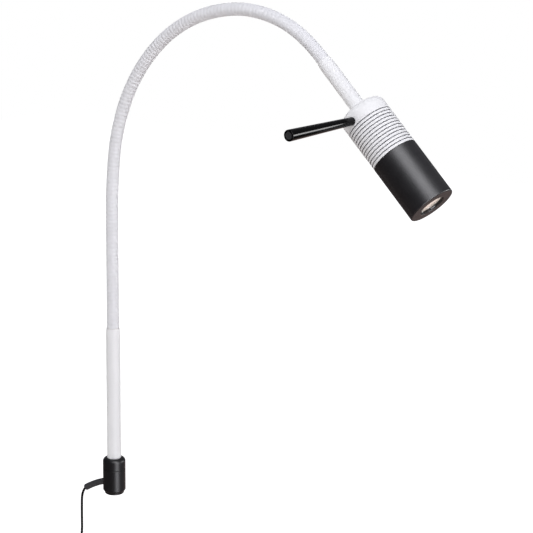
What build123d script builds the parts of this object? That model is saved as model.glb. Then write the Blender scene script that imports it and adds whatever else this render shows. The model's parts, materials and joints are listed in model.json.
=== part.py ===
from build123d import *
from math import atan2, cos, degrees, radians, sin, sqrt, tan
import os

# Examination lamp on a swivelling gooseneck arm, in millimetres, +Z up.
# The origin is the mouth of the pin socket, on the axis of the arm's upright part.
# The arm leans out along +X, the handle of the lamp head points to -Y and the lead leaves
# along -X.  The gooseneck is a chain of straight links with a ball joint between each two.

# ---------------------------------------------------------------- driving dimensions
fit_gap = 0.05                      # radial clearance of every running fit

pin_radius = 8.0                    # mounting pin that the adapter stands on
pin_depth = 30.0
liner_wall = 1.5
adapter_radius = 18.0
adapter_edge = 0.4                  # chamfer along both sides of the seam
base_ring_radius = 15.25
base_ring_height = 3.0
base_ring_edge = 0.9
adapter_seam = 41.2                 # top of the fixed half
adapter_top = 60.0
collar_shoulder = 6.0
lead_height = 15.5                  # where the lead enters the adapter
lead_bore = 3.0
clamp_screw_height = 18.0
clamp_screw_radius = 2.5
clamp_screw_socket = (1.45, 3.0)    # corner radius and depth

shaft_radius = 7.5                  # hollow swivel shaft
shaft_bore = 4.5
washer_thickness = 0.6              # friction washer in the seam
washer_radii = (15.0, 17.2)
collar_floor_thickness = 3.5
wave_washer_height = 1.2
wave_washer_radius = 10.6
ring_thickness = 1.0                # retaining ring on the shaft
ring_radius = 9.4
ring_mouth = 5.0
ring_groove_depth = 0.5
stop_pin_radius = 1.5
stop_pin_circle = 13.0
stop_pin_seat = 4.0
stop_pin_rise = 2.2
swivel_limit = 165.0
set_screw_radius = 2.0
set_screw_socket = (1.15, 2.0)      # corner radius and depth
set_screw_angles = (80, 170)

tube_radius = 11.0                  # smooth end tubes of the arm
tube_bore = 9.5
lower_tube_top = 275.0
lower_swage = (10.5, 12.0)          # radius at the swaged end, and the swage's length
upper_swage = (10.0, 9.0)
tube_end_edge = 0.4
ferrule_length = 32.0

sleeve_radius = 9.5                 # ribbed sleeve of the gooseneck
sleeve_bore = 8.0
sleeve_end_gap = 2.5
core_radius = 5.0
core_bore = 2.0
ball_radius = 6.0
cup_radius = 7.9
cup_mouth_angle = 63.0
cup_length = 7.0
cup_shoulder = 10.0                 # where the cup has narrowed to the shaft
cup_clearance = 12.0                # nothing but the shaft beyond this station
neck_radius = 3.3
neck_length = 8.5
first_link_length = 90.0
link_length = 72.8
link_elevations = (90, 90, 88.5, 82.5, 70, 55.5, 40.5, 24, 7.5, -12.5, -34.5)
head_elevation = -43.4
upper_tube_length = 89.0            # from the last bend to the rear of the head

head_radius = 34.0                  # lamp head, measured along its axis from its rear face
head_length = 171.0
tube_grip = 14.0                    # how far the upper tube reaches into the head
clamp_nut_radius = 17.0
clamp_nut_height = 6.0
housing_front = 83.0
housing_bore = 29.5
housing_floor = 6.0
rear_shoulder = 10.0
groove_count = 12
groove_first = 24.7
groove_pitch = 4.91
groove_width = 1.5
groove_depth = 2.2
spigot_radius = 31.5
spigot_front = 97.0
seam_gap = 0.3                      # between the rear housing and the front sleeve
front_rim = 1.8
plate_thickness = 5.0
opening_radius = 19.0
opening_step = 4.3                  # depth of the opening down to the bezel's seat
opening_lip = 1.2
bezel_height = 2.4
bezel_edge = 0.8                    # chamfer round the inside of the bezel
board_station = 26.0
board_radius = 22.0
board_thickness = 1.6
component_height = 8.0
sink_rear = 44.0
sink_front = 84.0
sink_radius = 29.4
sink_plate = 6.0
sink_hub = 9.0
fin_count = 11
fin_pitch = 5.2
fin_thickness = 1.8
module_radius = 17.0
module_thickness = 1.6
dome_radius = 3.6
dome_height = 2.0
reflector_rear = (4.2, 6.0)         # inner and outer radius at the light source
reflector_front = (16.8, 18.0)
reflector_end = 112.0
barrel_bore = 21.0
barrel_wall = 2.5
barrel_flange = (29.0, 3.0)         # radius and thickness
barrel_front = 148.0
carriage_rear = 129.7
carriage_gap = 0.3                  # to the front plate when focused forward
guide_pin_station = 132.5
guide_pin_radius = 1.2
guide_pin_foot = 20.0
guide_pin_length = 8.0
lens_radius = 18.9
lens_face_radius = 17.5
lens_rear = 160.0
lens_flange = 3.5
lens_face = 6.8                     # from the lens's rear to the edge of its domed face
lens_height = 7.8
snap_lip = 1.3
focus_travel = 8.0

handle_station = 16.0               # along the head, to the handle's axis
handle_foot = 31.2                  # from the head's axis
handle_end = 173.0
handle_root_radius = 5.75
handle_end_radius = 8.0
handle_edge = 1.2
stud_radius = 2.5
stud_foot = 24.0
stud_length = 30.0
stud_nut = (4.6, 1.1, 4.0)          # corner radius, start along the stud, thickness
button_radius = 5.5
button_depth = 10.0
button_travel = 1.2
button_play = 0.3
button_recess = 0.4
button_edge = 0.6
button_stem = (2.0, 5.0)            # radius, and length into the spring
spring_pocket = (4.5, 13.0)         # radius and depth
spring_coil_radius = 3.4
spring_wire = 0.35
spring_turns = 6
spring_end_gap = 0.02

cord_radius = 2.0                   # low-voltage lead
relief_root = Vector(-adapter_radius, 0, lead_height)
relief_radii = (5.1, 5.2)
coil_middle_radius = 18.25
coil_width = 20.0
coil_thickness = 14.5
coil_edge = 4.5
coil_height = -120.0
tie_gap = 0.4
tie_thickness = 1.2
tie_width = 8.0
supply_size = (36.0, 30.0, 50.0)
supply_edges = (5.0, 2.5)           # fillets of the upright and of the level edges
supply_top = -170.0
supply_relief_top = -156.0
supply_relief_radii = (4.5, 2.8)
mains_pin = (2.0, 19.0, 9.5)        # radius, length, distance from the middle
mains_pin_rise = 4.0

# The lead's route from the tip of the strain relief: a short droop, then it hangs.
cord_route = [
    (-62.0, 0, -6.5),
    (-65.6, 0, -8.9),
    (-69.6, 0, -15.6),
    (-72.4, 0, -24.0),
    (-73.1, 0, -35.0),
    (-73.4, 0, -60.0),
    (-73.3, 0, -104.5),
]
hanging_x = -73.3

os.makedirs("parts", exist_ok=True)
UP = Vector(0, 0, 1)
BASE = Vector(0, 0, 0)


# ---------------------------------------------------------------- helpers
def along(elevation):
    """Unit vector in the XZ plane, at this many degrees above +X."""
    return Vector(cos(radians(elevation)), 0, sin(radians(elevation)))


def turn(origin, direction, outline, mode=Mode.ADD):
    """Revolve an outline of (radius, distance along the axis) corners in the open part."""
    radial = Vector(0, 1, 0) if abs(direction.Y) < 0.5 else Vector(1, 0, 0)
    with BuildSketch(Plane(origin, x_dir=radial, z_dir=radial.cross(direction))) as profile:
        with BuildLine():
            Polyline(*outline, close=True)
        make_face()
    revolve(profile.sketch, axis=Axis(origin, direction), mode=mode)


def ring(bore, radius, low, high):
    """Outline of a plain ring between two stations of its axis."""
    return [(bore, low), (radius, low), (radius, high), (bore, high)]


def rod(origin, direction, radius, length, mode=Mode.ADD):
    """Plain round bar in the open part."""
    with BuildSketch(Plane(origin, z_dir=direction)) as section:
        Circle(radius)
    extrude(section.sketch, amount=length, mode=mode)


def save(piece, label):
    """Label a finished piece and write it to its own file."""
    piece.part.label = label
    export_step(piece.part, f"parts/{label}.step")


# ---------------------------------------------------------------- the arm's centre line
link_lengths = [first_link_length] + [link_length] * (len(link_elevations) - 1)
joints = [Vector(0, 0, lower_tube_top)]
for elevation, length in zip(link_elevations, link_lengths):
    joints.append(joints[-1] + along(elevation) * length)
head_axis = along(head_elevation)
head_rear = joints[-1] + head_axis * upper_tube_length
handle_axis = Vector(0, -1, 0)
handle_origin = head_rear + head_axis * handle_station

# ---------------------------------------------------------------- adapter, fixed on its pin
liner_radius = pin_radius + liner_wall
shaft_foot = pin_depth + liner_wall
collar_foot = adapter_seam + washer_thickness
collar_floor = collar_foot + collar_floor_thickness
ring_foot = collar_floor + wave_washer_height
shaft_top = ring_foot + ring_thickness + 1.2
lower_tube_foot = shaft_top + 0.5
channel_x = -13.75                  # upright channel that takes the lead to the shaft
channel_radius = 2.2
channel_reach = 20.0
notch = (3.6, 2.0)                  # width and height of the way across into the shaft
notch_height = shaft_foot + 1.0
base_chamfer_rise = 3.4

with BuildPart() as adapter_socket:
    turn(BASE, UP, [
        (liner_radius, base_ring_height),
        (base_ring_radius + adapter_edge, base_ring_height),
        (adapter_radius, base_ring_height + base_chamfer_rise),
        (adapter_radius, adapter_seam - adapter_edge),
        (adapter_radius - adapter_edge, adapter_seam),
        (shaft_radius, adapter_seam),
        (shaft_radius, shaft_foot),
        (shaft_bore, shaft_foot),
        (shaft_bore, pin_depth),
        (liner_radius, pin_depth),
    ])
    # Channel for the lead, from the gland up and across into the hollow shaft.
    rod(Vector(channel_x, 0, lead_height), UP, channel_radius, channel_reach, Mode.SUBTRACT)
    rod(Vector(channel_x, 0, lead_height), Vector(-1, 0, 0), lead_bore, adapter_radius,
        Mode.SUBTRACT)
    with Locations(((channel_x - shaft_radius) / 2, 0, notch_height)):
        Box(-channel_x - shaft_radius + 1.0, *notch, mode=Mode.SUBTRACT)
    # Thread for the clamp screw, and the seat of the stop pin.
    rod(Vector(0, liner_radius - 0.5, clamp_screw_height), Vector(0, 1, 0),
        clamp_screw_radius, adapter_radius, Mode.SUBTRACT)
    rod(Vector(0, stop_pin_circle, adapter_seam - stop_pin_seat), UP, stop_pin_radius,
        2 * stop_pin_seat, Mode.SUBTRACT)
save(adapter_socket, "adapter_socket")

with BuildPart() as adapter_base_ring:
    turn(BASE, UP, [
        (liner_radius, 0),
        (base_ring_radius - base_ring_edge, 0),
        (base_ring_radius, base_ring_edge),
        (base_ring_radius, base_ring_height),
        (liner_radius, base_ring_height),
    ])
save(adapter_base_ring, "adapter_base_ring")

with BuildPart() as pin_liner:
    turn(BASE, UP, ring(pin_radius, liner_radius, 0, pin_depth))
    rod(Vector(0, 0, clamp_screw_height), Vector(0, 1, 0), clamp_screw_radius,
        liner_radius + 1, Mode.SUBTRACT)
save(pin_liner, "pin_liner")

with BuildPart() as pin_clamp_screw:
    screw_tip = pin_radius + 0.4
    screw_head = adapter_radius - 1.5
    rod(Vector(0, screw_tip, clamp_screw_height), Vector(0, 1, 0), clamp_screw_radius,
        screw_head - screw_tip)
    chamfer(pin_clamp_screw.edges().filter_by(GeomType.CIRCLE), 0.4)
    with BuildSketch(Plane((0, screw_head, clamp_screw_height), z_dir=(0, -1, 0))):
        RegularPolygon(clamp_screw_socket[0], 6)
    extrude(amount=clamp_screw_socket[1], mode=Mode.SUBTRACT)
save(pin_clamp_screw, "pin_clamp_screw")

with BuildPart() as swivel_shaft:
    turn(BASE, UP, [
        (shaft_bore, shaft_foot),
        (shaft_radius, shaft_foot),
        (shaft_radius, ring_foot),
        (shaft_radius - ring_groove_depth, ring_foot),
        (shaft_radius - ring_groove_depth, ring_foot + ring_thickness),
        (shaft_radius, ring_foot + ring_thickness),
        (shaft_radius, shaft_top),
        (shaft_bore, shaft_top),
    ])
    with Locations((-shaft_radius, 0, notch_height)):
        Box(2 * (shaft_radius - shaft_bore) + 1.0, *notch, mode=Mode.SUBTRACT)
save(swivel_shaft, "swivel_shaft")

with BuildPart() as friction_washer:
    turn(BASE, UP, ring(*washer_radii, adapter_seam, collar_foot))
save(friction_washer, "friction_washer")

with BuildPart() as swivel_stop_pin:
    rod(Vector(0, stop_pin_circle, adapter_seam - stop_pin_seat), UP, stop_pin_radius,
        stop_pin_seat + stop_pin_rise)
save(swivel_stop_pin, "swivel_stop_pin")

# Strain relief: a drooping, slightly tapered rubber boot with a neck in the adapter's wall.
relief_tip = Vector(*cord_route[0])
relief_chord = relief_tip - relief_root
chord_slope = degrees(atan2(-relief_chord.Z, -relief_chord.X))
first_run = Vector(*cord_route[1]) - relief_tip
tip_slope = degrees(atan2(-first_run.Z, -first_run.X))
relief_bend = 2 * (tip_slope - chord_slope)
relief_slope = tip_slope - relief_bend
relief_arc_radius = relief_chord.length / (2 * sin(radians(relief_bend / 2)))


def relief_station(share):
    """Point and direction on the boot's arc, at this share of the way to its tip."""
    half_turn = share * relief_bend / 2
    chord = 2 * relief_arc_radius * sin(radians(half_turn))
    point = relief_root - along(relief_slope + half_turn) * chord
    return point, -along(relief_slope + share * relief_bend)


with BuildPart() as strain_relief:
    sections = []
    for share in (-0.06, 0.25, 0.5, 0.75, 1.0):
        centre, direction = relief_station(share)
        radius = relief_radii[0] + (relief_radii[1] - relief_radii[0]) * share
        with BuildSketch(Plane(centre, x_dir=(0, 1, 0), z_dir=direction)) as section:
            Circle(radius)
        sections.append(section.sketch)
    loft(sections)
    turn(BASE, UP, [(0, 0), (adapter_radius, 0), (adapter_radius, 30), (0, 30)], Mode.SUBTRACT)
    rod(Vector(-15, 0, lead_height), Vector(-1, 0, 0), lead_bore, 5)
save(strain_relief, "strain_relief")

# ---------------------------------------------------------------- the lead and its supply
corner_radii = []
for before, corner, after in zip(cord_route, cord_route[1:], cord_route[2:]):
    run_in = Vector(*corner) - Vector(*before)
    run_out = Vector(*after) - Vector(*corner)
    half_turn = radians(run_in.get_angle(run_out) / 2)
    corner_radii.append(0.45 * min(run_in.length, run_out.length) / tan(half_turn))

with BuildPart() as cord_tube:
    with BuildLine() as route:
        FilletPolyline(*cord_route, radius=corner_radii)
    path = route.wire()
    with BuildSketch(Plane(path @ 0, z_dir=path % 0)):
        Circle(cord_radius)
    sweep()
save(cord_tube, "cord_tube")

coil_centre = Vector(hanging_x + coil_middle_radius, 0, coil_height)
with BuildPart() as cord_coil:
    with BuildSketch(Plane(coil_centre, x_dir=(1, 0, 0), z_dir=(0, 0, 1))) as section:
        with Locations((coil_middle_radius, 0)):
            RectangleRounded(coil_thickness, coil_width, coil_edge)
    revolve(section.sketch, axis=Axis(coil_centre, (0, 1, 0)))
save(cord_coil, "cord_coil")

# The coil's side bulges towards the ring's middle, so the strap's loop is deeper that way.
tie_bulge = 0.3
tie_inner = (coil_thickness + 2 * tie_gap + 2 * tie_bulge, coil_width + 2 * tie_gap)
with BuildPart() as cord_tie:
    with BuildSketch(Plane((hanging_x + tie_bulge / 2, 0, coil_height - tie_width / 2))):
        RectangleRounded(tie_inner[0] + 2 * tie_thickness, tie_inner[1] + 2 * tie_thickness,
                         coil_edge + tie_thickness)
        RectangleRounded(*tie_inner, coil_edge, mode=Mode.SUBTRACT)
    extrude(amount=tie_width)
save(cord_tie, "cord_tie")

tail_top = coil_height - coil_thickness
with BuildPart() as cord_tail:
    rod(Vector(hanging_x, 0, supply_relief_top), UP, cord_radius, tail_top - supply_relief_top)
save(cord_tail, "cord_tail")

with BuildPart() as supply_relief:
    turn(Vector(hanging_x, 0, 0), UP, [
        (0, supply_top), (supply_relief_radii[0], supply_top),
        (supply_relief_radii[0], supply_top + 1.5),
        (supply_relief_radii[1], supply_relief_top), (0, supply_relief_top),
    ])
save(supply_relief, "supply_relief")

supply_centre = Vector(hanging_x, 0, supply_top - supply_size[2] / 2)
with BuildPart() as supply_case:
    with Locations(supply_centre):
        Box(*supply_size)
    fillet(supply_case.edges().filter_by(Axis.Z), supply_edges[0])
    level_edges = supply_case.edges().group_by(Axis.Z)
    fillet(level_edges[0] + level_edges[-1], supply_edges[1])
    # Joint line of the two half shells.
    with BuildSketch(Plane.XZ.offset(-4.0)) as joint_line:
        with Locations((supply_centre.X, supply_centre.Z)):
            Rectangle(supply_size[0] + 2, supply_size[2] + 2)
            Rectangle(supply_size[0] - 1.2, supply_size[2] - 1.2, mode=Mode.SUBTRACT)
    extrude(joint_line.sketch, amount=0.6, mode=Mode.SUBTRACT)
save(supply_case, "supply_case")

with BuildPart() as mains_pins:
    for side in (-1, 1):
        foot = Vector(mains_pin[2] * side, supply_size[1] / 2, mains_pin_rise)
        rod(supply_centre + foot, Vector(0, 1, 0), mains_pin[0], mains_pin[1])
    fillet(mains_pins.edges().group_by(Axis.Y)[-1], 1.2)
save(mains_pins, "mains_pins")

# ---------------------------------------------------------------- swivelling foot of the arm
set_screw_height = lower_tube_foot + 2.2
set_screw_head = adapter_radius - 1.0

with BuildPart() as swivel_collar:
    turn(BASE, UP, [
        (shaft_radius + fit_gap, collar_foot),
        (adapter_radius - adapter_edge, collar_foot),
        (adapter_radius, collar_foot + adapter_edge),
        (adapter_radius, adapter_top),
        (tube_radius, adapter_top),
        (tube_radius, collar_floor),
        (shaft_radius + fit_gap, collar_floor),
    ])
    fillet(swivel_collar.edges().group_by(Axis.Z)[-1].sort_by(SortBy.RADIUS)[-1], collar_shoulder)
    # Arc groove that the stop pin runs in; the web left in it meets the pin at the limits.
    pin_reach = degrees(stop_pin_radius / stop_pin_circle) + 0.4
    groove_turn = 2 * (swivel_limit + pin_reach)
    start = Vector(cos(radians(90 - groove_turn / 2)), sin(radians(90 - groove_turn / 2)), 0)
    with BuildSketch(Plane(BASE, x_dir=start, z_dir=start.cross(UP))) as groove:
        with Locations((stop_pin_circle, collar_foot)):
            Rectangle(2 * stop_pin_radius + 0.6, 2 * (stop_pin_rise + 0.3))
    revolve(groove.sketch, axis=Axis(BASE, UP), revolution_arc=groove_turn, mode=Mode.SUBTRACT)
    for angle in set_screw_angles:
        outward = Vector(cos(radians(angle)), sin(radians(angle)), 0)
        rod(outward * (tube_radius - 1) + UP * set_screw_height, outward, set_screw_radius,
            adapter_radius, Mode.SUBTRACT)
save(swivel_collar, "swivel_collar")

with BuildPart() as wave_washer:
    turn(BASE, UP, ring(shaft_radius + 0.2, wave_washer_radius, collar_floor, ring_foot))
save(wave_washer, "wave_washer")

with BuildPart() as retaining_ring:
    turn(BASE, UP, ring(shaft_radius - ring_groove_depth, ring_radius, ring_foot,
                        ring_foot + ring_thickness))
    # The ring is open at one side, so that it snaps over the shaft.
    with Locations((ring_radius, 0, ring_foot + ring_thickness / 2)):
        Box(ring_mouth, ring_mouth, 2 * ring_thickness, mode=Mode.SUBTRACT)
save(retaining_ring, "retaining_ring")

with BuildPart() as tube_set_screws:
    for angle in set_screw_angles:
        outward = Vector(cos(radians(angle)), sin(radians(angle)), 0)
        rod(outward * tube_radius + UP * set_screw_height, outward, set_screw_radius,
            set_screw_head - tube_radius)
        head_centre = outward * set_screw_head + UP * set_screw_height
        with BuildSketch(Plane(head_centre, z_dir=-outward)) as socket:
            RegularPolygon(set_screw_socket[0], 6)
        extrude(socket.sketch, amount=set_screw_socket[1], mode=Mode.SUBTRACT)
    # The screws press on the round tube, so their tips are cut to its curve.
    turn(BASE, UP, [(0, lower_tube_foot), (tube_radius, lower_tube_foot),
                    (tube_radius, adapter_top), (0, adapter_top)], Mode.SUBTRACT)
save(tube_set_screws, "tube_set_screws")

with BuildPart() as lower_tube:
    turn(BASE, UP, [
        (tube_bore, lower_tube_foot),
        (tube_radius, lower_tube_foot),
        (tube_radius, lower_tube_top - lower_swage[1]),
        (lower_swage[0], lower_tube_top - tube_end_edge),
        (lower_swage[0] - tube_end_edge, lower_tube_top),
        (tube_bore, lower_tube_top),
    ])
save(lower_tube, "lower_tube")

with BuildPart() as lower_ferrule:
    turn(BASE, UP, ring(core_radius, tube_bore, lower_tube_top - ferrule_length, lower_tube_top))
save(lower_ferrule, "lower_ferrule")

# ---------------------------------------------------------------- gooseneck links
cup_bore = ball_radius + fit_gap
mouth = radians(90 - cup_mouth_angle)
ferrule_foot = 15.0                 # where the end ferrule fills its tube
first_core_foot = -20.0             # the first core starts inside the lower ferrule


def core_outline(length, has_cup, has_ball, shaft_start):
    """Half section of one core segment: cup at 0, ball at its length, bored for the wires."""
    if has_cup:
        cup_top = sqrt(cup_bore**2 - core_bore**2)
        cup_turn = degrees(mouth + atan2(cup_top, core_bore))
        CenterArc((0, 0), cup_radius, -degrees(mouth), degrees(mouth))
        Polyline((cup_radius, 0), (cup_radius, cup_length), (core_radius, cup_shoulder),
                 (core_radius, cup_clearance))
        CenterArc((0, 0), cup_bore, -degrees(mouth), cup_turn)
        Line((cup_bore * cos(mouth), -cup_bore * sin(mouth)),
             (cup_radius * cos(mouth), -cup_radius * sin(mouth)))
        inner_start = (core_bore, cup_top)
        outer_start = (core_radius, cup_clearance)
    else:
        inner_start = (core_bore, shaft_start)
        outer_start = (core_radius, shaft_start)
        Line(inner_start, outer_start)
    if has_ball:
        ball_foot = -sqrt(ball_radius**2 - neck_radius**2)
        ball_top = sqrt(ball_radius**2 - core_bore**2)
        ball_start = degrees(atan2(ball_foot, neck_radius))
        Polyline(outer_start, (core_radius, length - neck_length - 1),
                 (neck_radius, length - neck_length),
                 (neck_radius, length + ball_foot))
        CenterArc((0, length), ball_radius, ball_start,
                  degrees(atan2(ball_top, core_bore)) - ball_start)
        Line((core_bore, length + ball_top), inner_start)
    else:
        Polyline(outer_start, (core_radius, ferrule_foot), (tube_bore, ferrule_foot),
                 (tube_bore, length), (core_bore, length), inner_start)


def build_core(origin, direction, length, has_cup=True, has_ball=True, shaft_start=0.0):
    """One core segment as a part of its own."""
    with BuildPart() as core:
        radial = Vector(0, 1, 0)
        with BuildSketch(Plane(origin, x_dir=radial, z_dir=radial.cross(direction))) as half:
            with BuildLine():
                core_outline(length, has_cup, has_ball, shaft_start)
            make_face()
        revolve(half.sketch, axis=Axis(origin, direction))
    return core


last = len(link_elevations)
for number in range(1, last + 1):
    start = joints[number - 1]
    direction = along(link_elevations[number - 1])
    length = link_lengths[number - 1]
    core = build_core(start, direction, length, number > 1, True, first_core_foot)
    save(core, f"gooseneck_core_{number:02d}")
    low = 0 if number == 1 else sleeve_end_gap
    high = length - (1.0 if number == last else sleeve_end_gap)
    with BuildPart() as sleeve:
        turn(start, direction, ring(sleeve_bore, sleeve_radius, low, high))
    save(sleeve, f"gooseneck_sleeve_{number:02d}")

upper_ferrule = build_core(joints[-1], head_axis, ferrule_length, True, False)
save(upper_ferrule, "upper_ferrule")

# ---------------------------------------------------------------- lamp head
upper_tube_foot = 1.2 - upper_tube_length
with BuildPart() as upper_tube:
    turn(head_rear, head_axis, [
        (tube_bore, upper_tube_foot),
        (upper_swage[0] - tube_end_edge, upper_tube_foot),
        (upper_swage[0], upper_tube_foot + tube_end_edge),
        (tube_radius, upper_tube_foot + upper_swage[1]),
        (tube_radius, tube_grip),
        (tube_bore, tube_grip),
    ])
save(upper_tube, "upper_tube")

with BuildPart() as rear_housing:
    turn(head_rear, head_axis, [
        (tube_radius, 0),
        (head_radius, 0),
        (head_radius, housing_front),
        (spigot_radius, housing_front),
        (spigot_radius, spigot_front),
        (housing_bore, spigot_front),
        (housing_bore, housing_floor),
        (tube_radius, housing_floor),
    ])
    rear_edges = rear_housing.edges().filter_by(GeomType.CIRCLE)
    rim = [e for e in rear_edges if abs(e.radius - head_radius) < 0.01]
    rim = [e for e in rim if (e.arc_center - head_rear).length < 0.01]
    fillet(rim, rear_shoulder)
    for number in range(groove_count):
        middle = groove_first + number * groove_pitch
        turn(head_rear, head_axis, ring(head_radius - groove_depth, head_radius + 1,
             middle - groove_width / 2, middle + groove_width / 2), Mode.SUBTRACT)
    rod(handle_origin + handle_axis * (handle_foot - 0.2), handle_axis,
        handle_root_radius + fit_gap, 6, Mode.SUBTRACT)
    rod(handle_origin + handle_axis * stud_foot, handle_axis, stud_radius, stud_length,
        Mode.SUBTRACT)
save(rear_housing, "rear_housing")

with BuildPart() as clamp_nut:
    with BuildSketch(Plane(head_rear + head_axis * housing_floor, z_dir=head_axis)):
        RegularPolygon(clamp_nut_radius, 6)
        Circle(tube_radius, mode=Mode.SUBTRACT)
    extrude(amount=clamp_nut_height)
save(clamp_nut, "clamp_nut")

with BuildPart() as driver_board:
    with BuildSketch(Plane(head_rear + head_axis * board_station, z_dir=head_axis)) as board:
        Circle(board_radius)
    extrude(board.sketch, amount=board_thickness)
    board_front = head_rear + head_axis * (board_station + board_thickness)
    front = Plane(board_front, x_dir=(0, 1, 0), z_dir=head_axis)
    with BuildSketch(front) as parts_on_board:
        with Locations((-8, 6)):
            Rectangle(12, 10)
        with Locations((9, -7)):
            Circle(4)
        with Locations((9, 9)):
            Rectangle(7, 5)
    extrude(parts_on_board.sketch, amount=component_height)
save(driver_board, "driver_board")

with BuildPart() as heat_sink:
    fin_plane = Plane(head_rear + head_axis * sink_rear, x_dir=(0, 1, 0), z_dir=head_axis)
    with BuildSketch(fin_plane) as fins:
        with GridLocations(0, fin_pitch, 1, fin_count):
            Rectangle(2 * sink_radius, fin_thickness)
        Circle(sink_hub)
        Circle(sink_radius, mode=Mode.INTERSECT)
    extrude(fins.sketch, amount=sink_front - sink_rear - 5)
    turn(head_rear, head_axis, [
        (0, sink_front - sink_plate), (sink_radius, sink_front - sink_plate),
        (sink_radius, sink_front), (0, sink_front),
    ])
save(heat_sink, "heat_sink")

module_front = sink_front + module_thickness
with BuildPart() as led_module:
    turn(head_rear, head_axis, [
        (0, sink_front), (module_radius, sink_front), (module_radius, module_front),
        (dome_radius, module_front), (dome_radius, module_front + 0.4 * dome_height),
        (0, module_front + dome_height),
    ])
save(led_module, "led_module")

with BuildPart() as reflector:
    turn(head_rear, head_axis, [
        (reflector_rear[0], module_front), (reflector_rear[1], module_front),
        (reflector_front[1], reflector_end), (reflector_front[0], reflector_end),
    ])
save(reflector, "reflector")

barrel_radius = barrel_bore + barrel_wall
with BuildPart() as optic_barrel:
    turn(head_rear, head_axis, [
        (barrel_bore + fit_gap, sink_front), (barrel_flange[0], sink_front),
        (barrel_flange[0], sink_front + barrel_flange[1]),
        (barrel_radius, sink_front + barrel_flange[1]), (barrel_radius, barrel_front),
        (barrel_bore + fit_gap, barrel_front),
    ])
    slot_middle = guide_pin_station - focus_travel / 2
    slot_plane = Plane(head_rear + head_axis * slot_middle, x_dir=head_axis, z_dir=(0, 1, 0))
    with BuildSketch(slot_plane) as slots:
        SlotOverall(focus_travel + 3 * guide_pin_radius, 2 * (guide_pin_radius + fit_gap))
    extrude(slots.sketch, amount=barrel_radius + 1, both=True, mode=Mode.SUBTRACT)
save(optic_barrel, "optic_barrel")

plate_rear = head_length - plate_thickness
flange_front = lens_rear + lens_flange
carriage_front = plate_rear - carriage_gap
with BuildPart() as lens_carriage:
    turn(head_rear, head_axis, [
        (lens_radius, carriage_rear), (barrel_bore, carriage_rear),
        (barrel_bore, carriage_front), (lens_radius, carriage_front),
        (lens_radius, flange_front + snap_lip), (lens_radius - snap_lip, flange_front + snap_lip),
        (lens_radius - snap_lip, flange_front), (lens_radius, flange_front),
    ])
    for side in (-1, 1):
        pin_foot = head_rear + head_axis * guide_pin_station + Vector(0, guide_pin_foot * side, 0)
        rod(pin_foot, Vector(0, side, 0), guide_pin_radius, guide_pin_length)
save(lens_carriage, "lens_carriage")

face_edge = (lens_face_radius, lens_rear + lens_face)
face_top = (0, lens_rear + lens_height)
with BuildPart() as lens:
    lens_plane = Plane(head_rear, x_dir=(0, 1, 0), z_dir=Vector(0, 1, 0).cross(head_axis))
    with BuildSketch(lens_plane) as half:
        with BuildLine():
            Polyline(face_top, (0, lens_rear), (lens_radius, lens_rear),
                     (lens_radius, flange_front), (lens_face_radius, flange_front), face_edge)
            TangentArc(face_top, face_edge, tangent=(1, 0))
        make_face()
    revolve(half.sketch, axis=Axis(head_rear, head_axis))
save(lens, "lens")

sleeve_rear = housing_front + seam_gap
bezel_seat = head_length - opening_step
lip_radius = opening_radius - opening_lip
with BuildPart() as front_sleeve:
    turn(head_rear, head_axis, [
        (spigot_radius + fit_gap, sleeve_rear),
        (head_radius, sleeve_rear),
        (head_radius, head_length),
        (opening_radius, head_length),
        (opening_radius, bezel_seat),
        (lip_radius, bezel_seat),
        (lip_radius, plate_rear),
        (spigot_radius + fit_gap, plate_rear),
    ])
    sleeve_edges = front_sleeve.edges().filter_by(GeomType.CIRCLE)
    rim = [e for e in sleeve_edges if abs(e.radius - head_radius) < 0.01]
    rim = [e for e in rim if (e.arc_center - head_rear).length > head_length - 0.01]
    fillet(rim, front_rim)
save(front_sleeve, "front_sleeve")

bezel_top = bezel_seat + bezel_height
with BuildPart() as bezel_ring:
    turn(head_rear, head_axis, [
        (lip_radius, bezel_seat), (opening_radius, bezel_seat), (opening_radius, bezel_top),
        (lip_radius + bezel_edge, bezel_top), (lip_radius, bezel_top - bezel_edge),
    ])
save(bezel_ring, "bezel_ring")

# ---------------------------------------------------------------- handle with its button
button_seat = handle_end - button_depth
spring_seat = button_seat - spring_pocket[1]
button_rear = button_seat + button_travel + button_play
with BuildPart() as handle:
    turn(handle_origin, handle_axis, [
        (stud_radius, handle_foot),
        (handle_root_radius, handle_foot),
        (handle_root_radius, head_radius),
        (handle_end_radius, handle_end - handle_edge),
        (handle_end_radius - handle_edge, handle_end),
        (button_radius + fit_gap, handle_end),
        (button_radius + fit_gap, button_seat),
        (spring_pocket[0], button_seat),
        (spring_pocket[0], spring_seat),
        (stud_radius, spring_seat),
    ])
save(handle, "handle")

with BuildPart() as handle_stud:
    rod(handle_origin + handle_axis * stud_foot, handle_axis, stud_radius, stud_length)
    nut_foot = handle_origin + handle_axis * (stud_foot + stud_nut[1])
    with BuildSketch(Plane(nut_foot, z_dir=handle_axis)) as nut:
        RegularPolygon(stud_nut[0], 6)
    extrude(nut.sketch, amount=stud_nut[2])
save(handle_stud, "handle_stud")

with BuildPart() as handle_button:
    turn(handle_origin, handle_axis, [
        (0, button_seat - button_stem[1]),
        (button_stem[0], button_seat - button_stem[1]),
        (button_stem[0], button_rear),
        (button_radius, button_rear),
        (button_radius, handle_end - button_recess - button_edge),
        (button_radius - button_edge, handle_end - button_recess),
        (0, handle_end - button_recess),
    ])
save(handle_button, "handle_button")

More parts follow.
